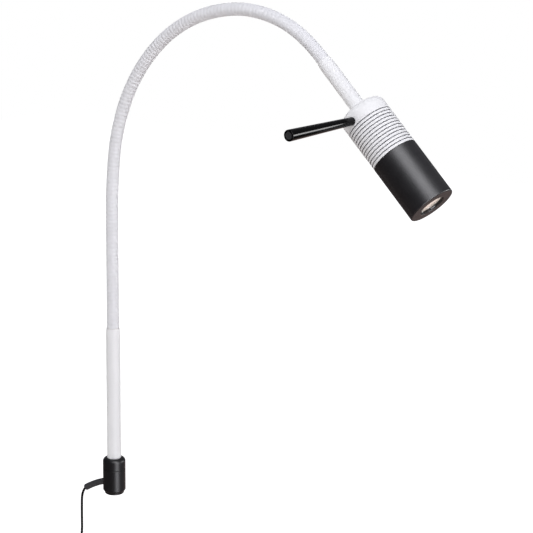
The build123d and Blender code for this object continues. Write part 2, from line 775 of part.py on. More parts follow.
spring_low = spring_seat + spring_wire + spring_end_gap
spring_high = button_rear - spring_wire - spring_end_gap
spring_height = spring_high - spring_low
with BuildPart() as button_spring:
    with BuildLine() as coil:
        Helix(pitch=spring_height / spring_turns, height=spring_height,
              radius=spring_coil_radius, center=handle_origin + handle_axis * spring_low,
              direction=handle_axis)
    with BuildSketch(Plane(coil.line @ 0, z_dir=coil.line % 0)):
        Circle(spring_wire)
    sweep(is_frenet=True)
save(button_spring, "button_spring")
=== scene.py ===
import json
import math
import bpy
import numpy as np
from mathutils import Matrix, Vector


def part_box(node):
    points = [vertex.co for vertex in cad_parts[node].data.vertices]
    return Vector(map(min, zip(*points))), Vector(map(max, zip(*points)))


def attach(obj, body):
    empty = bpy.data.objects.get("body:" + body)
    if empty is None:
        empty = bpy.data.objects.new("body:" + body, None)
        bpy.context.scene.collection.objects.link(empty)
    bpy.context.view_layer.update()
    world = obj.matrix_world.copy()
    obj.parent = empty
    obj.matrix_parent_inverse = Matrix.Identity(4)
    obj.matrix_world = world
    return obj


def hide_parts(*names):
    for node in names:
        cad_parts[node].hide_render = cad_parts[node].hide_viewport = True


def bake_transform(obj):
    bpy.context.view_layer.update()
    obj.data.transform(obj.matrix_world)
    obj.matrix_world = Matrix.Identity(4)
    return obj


# Examination lamp on a gooseneck arm: the looks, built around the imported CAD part.
# Blender works in metres.  Sizes named here are in millimetres, as in part.py, and MM turns
# them into metres.
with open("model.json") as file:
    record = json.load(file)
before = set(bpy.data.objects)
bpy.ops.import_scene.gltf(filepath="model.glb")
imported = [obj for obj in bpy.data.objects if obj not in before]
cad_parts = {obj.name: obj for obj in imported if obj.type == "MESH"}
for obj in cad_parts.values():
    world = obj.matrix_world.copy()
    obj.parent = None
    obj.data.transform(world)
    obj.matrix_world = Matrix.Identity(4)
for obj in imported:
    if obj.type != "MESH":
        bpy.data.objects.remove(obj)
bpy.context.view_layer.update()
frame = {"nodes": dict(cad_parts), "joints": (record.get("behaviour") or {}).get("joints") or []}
MM = 0.001

joints = {joint["name"]: joint for joint in frame["joints"]}
links = [joint for joint in frame["joints"] if "bend" in joint["name"]]
head_axis = Vector(joints["focus_turn"]["axis"]).normalized()
head_rear = Vector(joints["focus_turn"]["pos_m"])
handle_axis = Vector((0, -1, 0))
handle_origin = head_rear + head_axis * 16 * MM

# ---------------------------------------------------------------- camera
camera_place = Vector((2.0186, -2.1428, 1.1506))
camera_azimuth = math.radians(38.62)
camera_elevation = math.radians(14.76)
camera_roll = math.radians(0.68)
focal_length = 131.72


def make_camera():
    """The camera, looking along an azimuth and down by an elevation, a little rolled."""
    back = Vector((math.sin(camera_azimuth) * math.cos(camera_elevation),
                   -math.cos(camera_azimuth) * math.cos(camera_elevation),
                   math.sin(camera_elevation)))
    level = Vector((math.cos(camera_azimuth), math.sin(camera_azimuth), 0))
    upright = back.cross(level)
    right = level * math.cos(camera_roll) + upright * math.sin(camera_roll)
    up = upright * math.cos(camera_roll) - level * math.sin(camera_roll)
    data = bpy.data.cameras.new("camera")
    data.lens = focal_length
    data.sensor_width = 36.0
    data.clip_start = 0.05
    data.clip_end = 60.0
    camera = bpy.data.objects.new("camera", data)
    bpy.context.scene.collection.objects.link(camera)
    turn = Matrix((right, up, back)).transposed().to_4x4()
    camera.matrix_world = Matrix.Translation(camera_place) @ turn
    bpy.context.scene.camera = camera


make_camera()

# ---------------------------------------------------------------- mesh helpers


def add_mesh(name, vertices, faces, sharp_angle=32):
    """A smooth-shaded mesh object, with its sharp edges marked by angle."""
    mesh = bpy.data.meshes.new(name)
    mesh.from_pydata([tuple(v) for v in vertices], [], faces)
    mesh.validate()
    mesh.shade_smooth()
    mesh.set_sharp_from_angle(angle=math.radians(sharp_angle))
    piece = bpy.data.objects.new(name, mesh)
    bpy.context.scene.collection.objects.link(piece)
    return piece


def keep_flats_flat(piece):
    """Weighted normals, so that broad faces stay flat beside their rounded edges."""
    weighted = piece.modifiers.new("flats", "WEIGHTED_NORMAL")
    weighted.keep_sharp = True
    weighted.weight = 80
    return piece


def round_corners(corners, steps=6):
    """An outline with each (radius, station, fillet) corner turned into an arc."""
    outline = []
    count = len(corners)
    for i, (x, y, fillet) in enumerate(corners):
        here = Vector((x, y))
        if fillet <= 0:
            outline.append(here)
            continue
        to_last = (Vector(corners[i - 1][:2]) - here).normalized()
        to_next = (Vector(corners[(i + 1) % count][:2]) - here).normalized()
        half_turn = (math.pi - to_last.angle(to_next)) / 2
        reach = fillet * math.tan(half_turn)
        centre = here + (to_last + to_next).normalized() * (fillet / math.cos(half_turn))
        first = here + to_last * reach - centre
        last = here + to_next * reach - centre
        sweep = first.angle_signed(last)
        for k in range(steps + 1):
            turned = first.copy()
            turned.rotate(Matrix.Rotation(-sweep * k / steps, 2))
            outline.append(centre + turned)
    return outline


def lathe(name, origin, axis, corners, segments=96, steps=6):
    """Revolve a closed outline of (radius, station, fillet) corners, in millimetres."""
    outline = round_corners(corners, steps)
    side = axis.orthogonal().normalized()
    other = axis.cross(side)
    rings = []
    vertices = []
    for radius, station in outline:
        middle = origin + axis * station * MM
        if radius < 1e-6:
            rings.append([len(vertices)] * segments)
            vertices.append(middle)
            continue
        rings.append(list(range(len(vertices), len(vertices) + segments)))
        for k in range(segments):
            angle = 2 * math.pi * k / segments
            spoke = side * math.cos(angle) + other * math.sin(angle)
            vertices.append(middle + spoke * radius * MM)
    faces = []
    for ring, after in zip(rings, rings[1:] + rings[:1]):
        for k in range(segments):
            n = (k + 1) % segments
            loop = []
            for corner in (ring[k], ring[n], after[n], after[k]):
                if corner not in loop:
                    loop.append(corner)
            if len(loop) > 2:
                faces.append(loop)
    return keep_flats_flat(add_mesh(name, vertices, faces))


def tube_along(name, centres, directions, radii, side, segments=48):
    """An open-ended tube through rings of given centres, directions and radii."""
    vertices = []
    for centre, direction, radius in zip(centres, directions, radii):
        other = direction.cross(side).normalized()
        for k in range(segments):
            angle = 2 * math.pi * k / segments
            spoke = side * math.cos(angle) + other * math.sin(angle)
            vertices.append(centre + spoke * radius)
    faces = []
    for row in range(len(centres) - 1):
        low = row * segments
        for k in range(segments):
            n = (k + 1) % segments
            faces.append((low + k, low + n, low + segments + n, low + segments + k))
    return add_mesh(name, vertices, faces)


# ---------------------------------------------------------------- lead
cord_radius = 2.0
lead_exit = (-62.0, 0, -6.5)
lead_route = [
    lead_exit,
    (-65.6, 0, -8.9),
    (-69.6, 0, -15.6),
    (-72.4, 0, -24.0),
    (-73.1, 0, -35.0),
    (-73.4, 0, -60.0),
    (-73.3, 0, -88.0),
]
hanging_x = -73.3
coil_centre_x = -55.05
coil_height = -120.0
lane_width = 2 * cord_radius
points_per_turn = 16
# Each layer of the wound lead: its radius, its turns, its first lane and the way it is laid.
coil_layers = [(13.0, 4, -1.5, 1), (16.5, 4, 2.0, -1), (20.0, 4, -1.5, 1), (23.5, 4, 2.0, -1)]
supply_relief_top = -156.0


def coil_points():
    """Control points of the wound turns, each turn a diameter beside or outside the last."""
    turns = []
    for radius, count, first_lane, way in coil_layers:
        for number in range(count):
            turns.append((radius, (first_lane + way * number) * lane_width))
    turns.append(turns[-1])
    reach = 4 / (3 + math.cos(2 * math.pi / points_per_turn))
    points = []
    for number in range(len(turns) - 1):
        for step in range(points_per_turn):
            share = step / points_per_turn
            shift = min(1.0, max(0.0, (share - 0.65) / 0.35))
            shift = shift * shift * (3 - 2 * shift)
            radius = turns[number][0] * (1 - shift) + turns[number + 1][0] * shift
            lane = turns[number][1] * (1 - shift) + turns[number + 1][1] * shift
            angle = math.pi + 2 * math.pi * share
            points.append((coil_centre_x + radius * reach * math.cos(angle), lane,
                           coil_height + radius * reach * math.sin(angle)))
    return points


def make_lead():
    """The thin lead: it droops out of its boot, hangs, is wound up, and ends in its supply."""
    coil = coil_points()
    last_lane = coil[-1][1]
    # It passes beside the outer turns on its way to the innermost one.
    into_coil = [(-73.0, -4.0, -96.5), (-72.0, -9.8, -104.5), (-69.6, -8.6, -112.5)]
    out_of_coil = [
        (coil_centre_x - 23.4, last_lane, coil_height),
        (coil_centre_x - 22.6, last_lane * 0.8, coil_height - 8.5),
        (hanging_x - 1.7, last_lane * 0.35, coil_height - 18.0),
        (hanging_x, 0, coil_height - 27.0),
        (hanging_x, 0, supply_relief_top),
    ]
    points = lead_route + into_coil + coil + out_of_coil
    curve = bpy.data.curves.new("lead", "CURVE")
    curve.dimensions = "3D"
    spline = curve.splines.new("NURBS")
    spline.points.add(len(points) - 1)
    for spot, point in zip(spline.points, points):
        spot.co = (*(Vector(point) * MM), 1)
        spot.radius = cord_radius * MM
    spline.order_u = 3
    spline.use_endpoint_u = True
    spline.resolution_u = 5
    curve.bevel_depth = 1.0
    curve.bevel_resolution = 5
    curve.use_fill_caps = True
    lead = bpy.data.objects.new("lead", curve)
    bpy.context.scene.collection.objects.link(lead)
    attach(lead, "adapter")
    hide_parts("cord_tube", "cord_coil", "cord_tail")
    return lead


def make_strap():
    """Hook and loop strap round the wound lead, with its free end lapped over on one side."""
    half_width = 4.0
    thickness = 1.1
    inner_x, inner_y, corner = 8.1, 10.6, 4.8
    middle_x = hanging_x + 0.3
    outline = []
    for quarter, (sx, sy) in enumerate([(1, 1), (-1, 1), (-1, -1), (1, -1)]):
        for k in range(11):
            angle = math.pi / 2 * (quarter + k / 10)
            spoke = Vector((math.cos(angle), math.sin(angle)))
            centre = Vector((sx * (inner_x - corner), sy * (inner_y - corner)))
            outline.append((centre + spoke * corner, spoke))
    lap = outline[6:17]
    vertices, faces = [], []
    for run, lift, closed in ((outline, 0.0, True), (lap, thickness, False)):
        first = len(vertices)
        section = [(0.0, 0.35), (0.35, 0.0), (thickness - 0.35, 0.0), (thickness, 0.35)]
        for spot, spoke in run:
            for side in (-1, 1):
                for offset, inset in section[::-side]:
                    place = spot + spoke * (offset + lift)
                    height = coil_height + side * (half_width - inset)
                    vertices.append(Vector((middle_x + place.x, place.y, height)) * MM)
        count = 2 * len(section)
        for i in range(len(run) if closed else len(run) - 1):
            n = (i + 1) % len(run)
            for k in range(count):
                m = (k + 1) % count
                faces.append((first + i * count + k, first + i * count + m,
                              first + n * count + m, first + n * count + k))
        if not closed:
            faces.append(tuple(range(first, first + count)))
            faces.append(tuple(range(len(vertices) - 1, len(vertices) - count - 1, -1)))
    strap = keep_flats_flat(add_mesh("lead_strap", vertices, faces, 50))
    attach(strap, "adapter")
    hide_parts("cord_tie")
    return strap


lead = make_lead()
strap = make_strap()

# ---------------------------------------------------------------- materials


def start_material(name):
    """A material, its node tree and its principled shader."""
    material = bpy.data.materials.new(name)
    material.use_nodes = True
    tree = material.node_tree
    shader = next(n for n in tree.nodes if n.type == "BSDF_PRINCIPLED")
    return material, tree, shader


def noise_of(tree, scale, detail=3.0, stretch=(1, 1, 1)):
    """Noise in object space, with a stretch along each axis; gives its value socket."""
    place = tree.nodes.new("ShaderNodeTexCoord")
    mapping = tree.nodes.new("ShaderNodeMapping")
    mapping.inputs["Scale"].default_value = stretch
    noise = tree.nodes.new("ShaderNodeTexNoise")
    noise.inputs["Scale"].default_value = scale
    noise.inputs["Detail"].default_value = detail
    tree.links.new(place.outputs["Object"], mapping.inputs["Vector"])
    tree.links.new(mapping.outputs["Vector"], noise.inputs["Vector"])
    return noise.outputs["Fac"]


def remap(tree, value, low, high):
    """The value, spread from its usual middle range to low and high."""
    spread = tree.nodes.new("ShaderNodeMapRange")
    spread.inputs["From Min"].default_value = 0.3
    spread.inputs["From Max"].default_value = 0.7
    spread.inputs["To Min"].default_value = low
    spread.inputs["To Max"].default_value = high
    tree.links.new(value, spread.inputs["Value"])
    return spread.outputs["Result"]


def two_tone(tree, value, dark, light):
    """A colour between dark and light, by the value."""
    ramp = tree.nodes.new("ShaderNodeValToRGB")
    ramp.color_ramp.elements[0].position = 0.3
    ramp.color_ramp.elements[0].color = (*dark, 1)
    ramp.color_ramp.elements[1].position = 0.7
    ramp.color_ramp.elements[1].color = (*light, 1)
    tree.links.new(value, ramp.inputs["Fac"])
    return ramp.outputs["Color"]


def bump_of(tree, heights):
    """One normal from several (height socket, depth in millimetres) pairs."""
    normal = None
    for height, depth in heights:
        bump = tree.nodes.new("ShaderNodeBump")
        bump.inputs["Strength"].default_value = 1.0
        bump.inputs["Distance"].default_value = depth * MM
        tree.links.new(height, bump.inputs["Height"])
        if normal is not None:
            tree.links.new(normal, bump.inputs["Normal"])
        normal = bump.outputs["Normal"]
    return normal


def paint_crevice_shade(tree, colour, shade, reach, open_above):
    """The colour, multiplied by a painted shade where the surface within reach closes round it.

    Nothing changes where more than the share open_above of the view outwards is free.
    """
    hollow = tree.nodes.new("ShaderNodeAmbientOcclusion")
    hollow.samples = 8
    hollow.inputs["Distance"].default_value = reach * MM
    spread = tree.nodes.new("ShaderNodeMapRange")
    spread.inputs["From Min"].default_value = 0.3
    spread.inputs["From Max"].default_value = open_above
    mix = tree.nodes.new("ShaderNodeMixRGB")
    mix.blend_type = "MIX"
    dark = tree.nodes.new("ShaderNodeMixRGB")
    dark.blend_type = "MULTIPLY"
    dark.inputs["Fac"].default_value = 1.0
    dark.inputs["Color2"].default_value = (*shade, 1)
    tree.links.new(hollow.outputs["AO"], spread.inputs["Value"])
    tree.links.new(colour, dark.inputs["Color1"])
    tree.links.new(spread.outputs["Result"], mix.inputs["Fac"])
    tree.links.new(dark.outputs["Color"], mix.inputs["Color1"])
    tree.links.new(colour, mix.inputs["Color2"])
    return mix.outputs["Color"]


def moulded(name, dark, light, roughness, grain, grain_scale, specular=0.5,
            mottle_scale=45.0, painted_crevice_shade=None):
    """Plastic, rubber or paint: slightly mottled, with a fine grain of some depth."""
    material, tree, shader = start_material(name)
    mottle = noise_of(tree, mottle_scale)
    fine = noise_of(tree, grain_scale, 2.0)
    colour = two_tone(tree, mottle, dark, light)
    # Where given, painted shade darkens the colour in crevices and grooves.
    if painted_crevice_shade:
        colour = paint_crevice_shade(tree, colour, *painted_crevice_shade)
    tree.links.new(colour, shader.inputs["Base Color"])
    patchy = noise_of(tree, mottle_scale * 2.3, 4.0)
    rough = remap(tree, patchy, roughness[0], roughness[1])
    tree.links.new(rough, shader.inputs["Roughness"])
    tree.links.new(bump_of(tree, [(mottle, grain * 1.5), (fine, grain)]),
                   shader.inputs["Normal"])
    shader.inputs["Specular IOR Level"].default_value = specular
    return material


def metal(name, dark, light, roughness, grain, grain_scale, stretch=(1, 1, 1)):
    """Bare or plated metal, with machining marks along the short side of its stretch."""
    material, tree, shader = start_material(name)
    marks = noise_of(tree, grain_scale, 3.0, stretch)
    tarnish = noise_of(tree, 60.0)
    tree.links.new(two_tone(tree, tarnish, dark, light), shader.inputs["Base Color"])
    rough = remap(tree, marks, roughness[0], roughness[1])
    tree.links.new(rough, shader.inputs["Roughness"])
    tree.links.new(bump_of(tree, [(marks, grain)]), shader.inputs["Normal"])
    shader.inputs["Metallic"].default_value = 1.0
    return material


def white_paint():
    """Satin powder coat on the tubes and the rear housing, with a faint orange peel and painted
    shade in its grooves.
    """
    return moulded("white_paint", (0.795, 0.795, 0.80), (0.82, 0.82, 0.825), (0.44, 0.52),
                   0.0002, 240.0, specular=0.15, mottle_scale=40.0,
                   painted_crevice_shade=((0.28, 0.28, 0.31), 2.2, 0.75))


def sleeve_vinyl():
    """Soft white vinyl of the gooseneck's sleeve, a little duller than the paint."""
    return moulded("sleeve_vinyl", (0.725, 0.725, 0.745), (0.755, 0.755, 0.775), (0.50, 0.58),
                   0.0002, 260.0, specular=0.15, mottle_scale=40.0)


def adapter_plastic():
    """Satin black moulding of the adapter."""
    return moulded("adapter_plastic", (0.0045, 0.0042, 0.0050), (0.0065, 0.0062, 0.0072),
                   (0.34, 0.38), 0.0015, 2600.0, specular=0.4)


def head_black():
    """Satin anodised black of the lamp head's front part, with a fine blasted grain."""
    return moulded("head_black", (0.0045, 0.0040, 0.0050), (0.0065, 0.0060, 0.0075),
                   (0.40, 0.46), 0.0015, 2200.0, specular=0.6, mottle_scale=30.0)


def bezel_gloss():
    """Polished black of the ring round the lens."""
    return moulded("bezel_gloss", (0.006, 0.006, 0.007), (0.010, 0.010, 0.012),
                   (0.08, 0.16), 0.001, 1500.0, specular=0.6)


def handle_gloss():
    """Polished black of the handle."""
    return moulded("handle_gloss", (0.0008, 0.0008, 0.0008), (0.0016, 0.0016, 0.0018),
                   (0.11, 0.15), 0.0005, 1200.0, specular=0.12)


def button_plastic():
    """Satin black of the push button in the handle's end."""
    return moulded("button_plastic", (0.020, 0.020, 0.022), (0.030, 0.030, 0.033),
                   (0.34, 0.44), 0.006, 2400.0, specular=0.5)


def boot_rubber():
    """Matt rubber of the strain relief."""
    return moulded("boot_rubber", (0.032, 0.032, 0.035), (0.046, 0.046, 0.050),
                   (0.46, 0.56), 0.006, 1800.0, specular=0.5)


def lead_jacket():
    """Slightly shiny jacket of the lead."""
    return moulded("lead_jacket", (0.0015, 0.0015, 0.0018), (0.003, 0.003, 0.0033),
                   (0.36, 0.46), 0.003, 1500.0, specular=0.2)


def washer_plastic():
    """Dull black of the washer between the adapter's halves."""
    return moulded("washer_plastic", (0.003, 0.003, 0.003), (0.006, 0.006, 0.006),
                   (0.6, 0.75), 0.008, 2000.0, specular=0.3)


def supply_plastic():
    """Spark-eroded grain of the power supply's case."""
    return moulded("supply_plastic", (0.010, 0.010, 0.011), (0.018, 0.018, 0.020),
                   (0.50, 0.64), 0.020, 1300.0, specular=0.45)


def tie_weave():
    """Woven hook and loop strap of the lead's tie."""
    material, tree, shader = start_material("tie_plastic")
    place = tree.nodes.new("ShaderNodeTexCoord")
    threads = []
    for direction in ("X", "Z"):
        wave = tree.nodes.new("ShaderNodeTexWave")
        wave.bands_direction = direction
        wave.inputs["Scale"].default_value = 420.0
        wave.inputs["Distortion"].default_value = 1.2
        wave.inputs["Detail"].default_value = 2.0
        tree.links.new(place.outputs["Object"], wave.inputs["Vector"])
        threads.append(wave.outputs["Fac"])
    fluff = noise_of(tree, 900.0, 4.0)
    tree.links.new(two_tone(tree, threads[0], (0.010, 0.010, 0.011), (0.028, 0.028, 0.030)),
                   shader.inputs["Base Color"])
    tree.links.new(remap(tree, fluff, 0.7, 0.9), shader.inputs["Roughness"])
    tree.links.new(bump_of(tree, [(threads[0], 0.12), (threads[1], 0.12), (fluff, 0.1)]),
                   shader.inputs["Normal"])
    shader.inputs["Sheen Weight"].default_value = 0.3
    return material


def liner_bronze():
    """Turned bronze of the pin socket."""
    return metal("liner_bronze", (0.50, 0.36, 0.17), (0.62, 0.46, 0.24), (0.22, 0.34),
                 0.004, 900.0, (1, 1, 14))


def plated_steel():
    """Zinc-plated screws, nuts and rings."""
    return metal("plated_steel", (0.50, 0.50, 0.52), (0.64, 0.64, 0.66), (0.24, 0.38),
                 0.003, 1100.0)


def core_steel():
    """Oiled steel of the gooseneck's core."""
    return metal("core_steel", (0.30, 0.30, 0.31), (0.46, 0.46, 0.47), (0.28, 0.42),
                 0.004, 900.0)


def bare_aluminium():
    """Machined aluminium of the heat sink and the optic barrel."""
    return metal("bare_aluminium", (0.66, 0.67, 0.69), (0.78, 0.79, 0.81), (0.26, 0.40),
                 0.004, 1000.0, (1, 10, 1))


def contact_nickel():
    """Nickel-plated pins of the plug."""
    return metal("contact_nickel", (0.66, 0.64, 0.59), (0.78, 0.76, 0.72), (0.14, 0.24),
                 0.002, 900.0, (1, 8, 1))


def mirror_metal():
    """Vapour-coated reflector."""
    return metal("mirror_metal", (0.86, 0.86, 0.87), (0.92, 0.92, 0.92), (0.03, 0.08),
                 0.001, 700.0)


def circuit_board():
    """Solder mask of the driver board, with copper tracks under it."""
    material, tree, shader = start_material("circuit_board")
    place = tree.nodes.new("ShaderNodeTexCoord")
    brick = tree.nodes.new("ShaderNodeTexBrick")
    brick.inputs["Scale"].default_value = 260.0
    brick.inputs["Color1"].default_value = (0.012, 0.080, 0.035, 1)
    brick.inputs["Color2"].default_value = (0.020, 0.110, 0.050, 1)
    brick.inputs["Mortar"].default_value = (0.045, 0.170, 0.080, 1)
    tree.links.new(place.outputs["Object"], brick.inputs["Vector"])
    tree.links.new(brick.outputs["Color"], shader.inputs["Base Color"])
    tree.links.new(remap(tree, noise_of(tree, 500.0), 0.25, 0.4), shader.inputs["Roughness"])
    tree.links.new(bump_of(tree, [(brick.outputs["Fac"], 0.03)]), shader.inputs["Normal"])
    return material


def lens_glass():
    """Pebbled glass of the lens, with a painted glow in its own warm colour that stands in for
    the light source behind it.
    """
    material, tree, shader = start_material("lens_glass")
    place = tree.nodes.new("ShaderNodeTexCoord")
    pebbles = tree.nodes.new("ShaderNodeTexVoronoi")
    pebbles.feature = "SMOOTH_F1"
    pebbles.inputs["Scale"].default_value = 520.0
    pebbles.inputs["Smoothness"].default_value = 0.6
    tree.links.new(place.outputs["Object"], pebbles.inputs["Vector"])
    tone = two_tone(tree, noise_of(tree, 230.0, 4.0), (0.50, 0.43, 0.38), (0.72, 0.655, 0.60))
    tree.links.new(tone, shader.inputs["Base Color"])
    # Painted glow: the lens gives off light in its own colour.
    tree.links.new(tone, shader.inputs["Emission Color"])
    shader.inputs["Emission Strength"].default_value = 0.75
    material.cycles.emission_sampling = "NONE"
    tree.links.new(remap(tree, noise_of(tree, 300.0), 0.06, 0.16), shader.inputs["Roughness"])
    tree.links.new(bump_of(tree, [(pebbles.outputs["Distance"], 0.10)]),
                   shader.inputs["Normal"])
    shader.inputs["Transmission Weight"].default_value = 0.25
    shader.inputs["IOR"].default_value = 1.5
    shader.inputs["Coat Weight"].default_value = 1.0
    shader.inputs["Coat Roughness"].default_value = 0.03
    return material


finishes = {
    "white_paint": white_paint(),
    "sleeve_vinyl": sleeve_vinyl(),
    "adapter_plastic": adapter_plastic(),
    "head_black": head_black(),
    "bezel_gloss": bezel_gloss(),
    "handle_gloss": handle_gloss(),
    "button_plastic": button_plastic(),
    "boot_rubber": boot_rubber(),
    "lead_jacket": lead_jacket(),
    "washer_plastic": washer_plastic(),
    "supply_plastic": supply_plastic(),
    "tie_plastic": tie_weave(),
    "liner_bronze": liner_bronze(),
    "plated_steel": plated_steel(),
    "core_steel": core_steel(),
    "bare_aluminium": bare_aluminium(),
    "contact_nickel": contact_nickel(),
    "mirror_metal": mirror_metal(),
    "circuit_board": circuit_board(),
    "lens_glass": lens_glass(),
}


def dress_cad_nodes():
    """Each CAD node takes the finish that its own material slot names."""
    for node in frame["nodes"].values():
        for slot in node.material_slots:
            slot.material = finishes[slot.material.name.split(".")[0]]


def finish_piece(piece, body, slot, *nodes):
    """Colour a piece, let it ride on its body, and hide the CAD nodes that it stands for."""
    piece.data.materials.append(finishes[slot])
    if body:
        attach(piece, body)
    if nodes:
        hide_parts(*nodes)
    return piece


dress_cad_nodes()
lead.data.materials.append(finishes["lead_jacket"])
strap.data.materials.append(finishes["tie_plastic"])

# ---------------------------------------------------------------- ribbed sleeve
sleeve_radius = 9.5
rib_pitch = 6.5
rib_steps = 12
upper_tube_length = 89.0
sleeve_tuck = 4.0
slope_reach = 2.0
# This order only clears piece 8 at all_max.
child_first = (8,)

tube_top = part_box("lower_tube")[1].z
spine = [Vector((0, 0, tube_top))]
spine += [Vector(joint["pos_m"]) for joint in links]
spine.append(head_rear - head_axis * upper_tube_length * MM)


def spine_directions():
    """Direction of the sleeve at each spine point: the mean of the links on both sides."""
    runs = [(after - before).normalized() for before, after in zip(spine, spine[1:])]
    middle = [(before + after).normalized() for before, after in zip(runs, runs[1:])]
    return [runs[0]] + middle + [head_axis]


def sleeve_line(samples=60):
    """Points along the smooth line through the joints, close together, and their lengths."""
    directions = spine_directions()
    points = []
    for k in range(len(spine) - 1):
        start, end = spine[k], spine[k + 1]
        pull = (end - start).length
        for i in range(samples):
            t = i / samples
            points.append(start * (2 * t**3 - 3 * t**2 + 1)
                          + directions[k] * pull * (t**3 - 2 * t**2 + t)
                          + end * (3 * t**2 - 2 * t**3)
                          + directions[k + 1] * pull * (t**3 - t**2))
    points.append(spine[-1])
    steps = [0.0] + [(b - a).length for a, b in zip(points, points[1:])]
    return np.array(points), np.cumsum(steps), samples


def rib_depth(share):
    """Depth of the valleys: they open where the arm bends and fade towards both end tubes."""
    return 0.30 + 0.42 * math.exp(-((share - 0.66) / 0.20) ** 2)


def make_sleeve():
    """The ribbed sleeve in one piece for each bend."""
    points, lengths, samples = sleeve_line()
    total = lengths[-1]
    ribs = round(total / (rib_pitch * MM))
    pitch = total / ribs
    # The pieces meet at whole ribs near the middle of each link.
    cuts = [0]
    for k in range(1, len(links)):
        cuts.append(round(lengths[k * samples + samples // 2] / pitch))
    cuts.append(ribs)
    side = Vector((0, 1, 0))
    for number, joint in enumerate(links):
        low, high = cuts[number], cuts[number + 1]
        places = [pitch * (low + i / rib_steps) for i in range((high - low) * rib_steps + 1)]
        radii = []
        for place in places:
            valley = (0.5 + 0.5 * math.cos(2 * math.pi * place / pitch)) ** 2
            radii.append((sleeve_radius - rib_depth(place / total) * valley) * MM)
        if number == 0:
            places = [-sleeve_tuck * MM] + places
            radii = radii[:1] + radii
        if number == len(links) - 1:
            places.append(total + sleeve_tuck * MM)
            radii.append(radii[-1])
        centres, directions = [], []
        for place in places:
            inside = min(max(place, 0.0), total)
            centre = Vector([np.interp(inside, lengths, points[:, i]) for i in range(3)])
            ahead, behind = [
                [np.interp(spot, lengths, points[:, i]) for i in range(3)]
                for spot in (min(inside + slope_reach * MM, total),
                             max(inside - slope_reach * MM, 0))
            ]
            direction = (Vector(ahead) - Vector(behind)).normalized()
            centres.append(centre + direction * (place - inside))
            directions.append(direction)
        piece = tube_along(f"ribbed_sleeve_{number + 1:02d}", centres, directions, radii, side)
        nodes = [f"gooseneck_sleeve_{number + 1:02d}"]
        if number == len(links) - 1:
            nodes.append(f"gooseneck_sleeve_{number + 2:02d}")
        finish_piece(piece, None, "sleeve_vinyl", *nodes)
        if number + 1 in child_first:
            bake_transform(piece)
        else:
            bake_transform(piece)


make_sleeve()

# ---------------------------------------------------------------- lamp head
head_radius = 34.0
head_length = 171.0
housing_front = 83.0
groove_count = 12
groove_first = 24.7
groove_pitch = 4.91
groove_width = 1.5
groove_depth = 2.2
tube_radius = 11.0
spigot_radius = 31.5
spigot_front = 97.0
housing_bore = 29.5
housing_wall = 6.0
sleeve_gap = 0.3
sleeve_bore = 31.55
opening_radius = 19.0
seat_radius = 17.8
seat_depth = 4.3
plate_depth = 5.0

handle_start = 31.2
handle_end = 173.0
handle_neck_radius = 5.75
handle_neck_end = 34.0
handle_end_radius = 8.0
button_bore = 5.55
button_bore_start = 163.0
spring_bore = 4.5
spring_bore_start = 150.0
wire_bore = 2.5

stem_radius = 2.0
stem_start = 158.0
button_radius = 5.5
button_start = 164.5
button_end = 172.6


def make_rear_housing():
    """White housing with its twelve round-bottomed grooves."""
    corners = [(tube_radius, 0, 0.3), (head_radius, 0, 10.0)]
    for number in range(groove_count):
        middle = groove_first + number * groove_pitch
        rear, front = middle - groove_width / 2, middle + groove_width / 2
        corners += [
            (head_radius, rear, 0.22), (head_radius - groove_depth, rear, 0.6),
            (head_radius - groove_depth, front, 0.6), (head_radius, front, 0.22),
        ]
    corners += [
        (head_radius, housing_front, 0.25), (spigot_radius, housing_front, 0),
        (spigot_radius, spigot_front, 0.4), (housing_bore, spigot_front, 0),
        (housing_bore, housing_wall, 0), (tube_radius, housing_wall, 0),
    ]
    piece = lathe("head_housing", head_rear, head_axis, corners, segments=160, steps=4)
    finish_piece(piece, "head", "white_paint", "rear_housing")


def make_front_sleeve():
    """Black front part with a softly rounded rim round the opening."""
    sleeve_rear = housing_front + sleeve_gap
    plate_rear = head_length - plate_depth
    seat = head_length - seat_depth
    corners = [
        (sleeve_bore, sleeve_rear, 0), (head_radius, sleeve_rear, 0.3),
        (head_radius, head_length, 1.8), (opening_radius, head_length, 0.4),
        (opening_radius, seat, 0), (seat_radius, seat, 0),
        (seat_radius, plate_rear, 0), (sleeve_bore, plate_rear, 0),
    ]
    piece = lathe("head_front", head_rear, head_axis, corners, segments=160)
    finish_piece(piece, "front", "head_black", "front_sleeve")


def make_handle():
    """Tapered glossy handle with a rounded rim."""
    corners = [
        (wire_bore, handle_start, 0), (handle_neck_radius, handle_start, 0.3),
        (handle_neck_radius, handle_neck_end, 0), (handle_end_radius, handle_end, 1.0),
        (button_bore, handle_end, 0.25), (button_bore, button_bore_start, 0),
        (spring_bore, button_bore_start, 0), (spring_bore, spring_bore_start, 0),
        (wire_bore, spring_bore_start, 0),
    ]
    piece = lathe("lamp_handle", handle_origin, handle_axis, corners, segments=96)
    finish_piece(piece, "head", "handle_gloss", "handle")


def make_button():
    """Push button in the handle's end, with a shallow finger dish."""
    corners = [
        (0, stem_start, 0), (stem_radius, stem_start, 0.2),
        (stem_radius, button_start, 0), (button_radius, button_start, 0),
        (button_radius, button_end, 0.5), (4.4, button_end, 0.3),
        (3.0, 172.25, 1.5), (0, 172.1, 0),
    ]
    piece = lathe("end_button", handle_origin, handle_axis, corners, segments=72)
    finish_piece(piece, "button", "button_plastic", "handle_button")


make_rear_housing()
make_front_sleeve()
make_handle()
make_button()

# ---------------------------------------------------------------- light and floor
floor_height = -1.4


def area_light(name, place, target, size, power, colour=(1, 1, 1), height=None):
    """A soft box that faces its target."""
    data = bpy.data.lights.new(name, "AREA")
    data.shape = "RECTANGLE"
    data.size = size
    data.size_y = height or size
    data.energy = power
    data.color = colour
    light = bpy.data.objects.new(name, data)
    bpy.context.scene.collection.objects.link(light)
    light.location = place
    light.rotation_euler = (Vector(target) - Vector(place)).to_track_quat("-Z", "Y").to_euler()
    return light


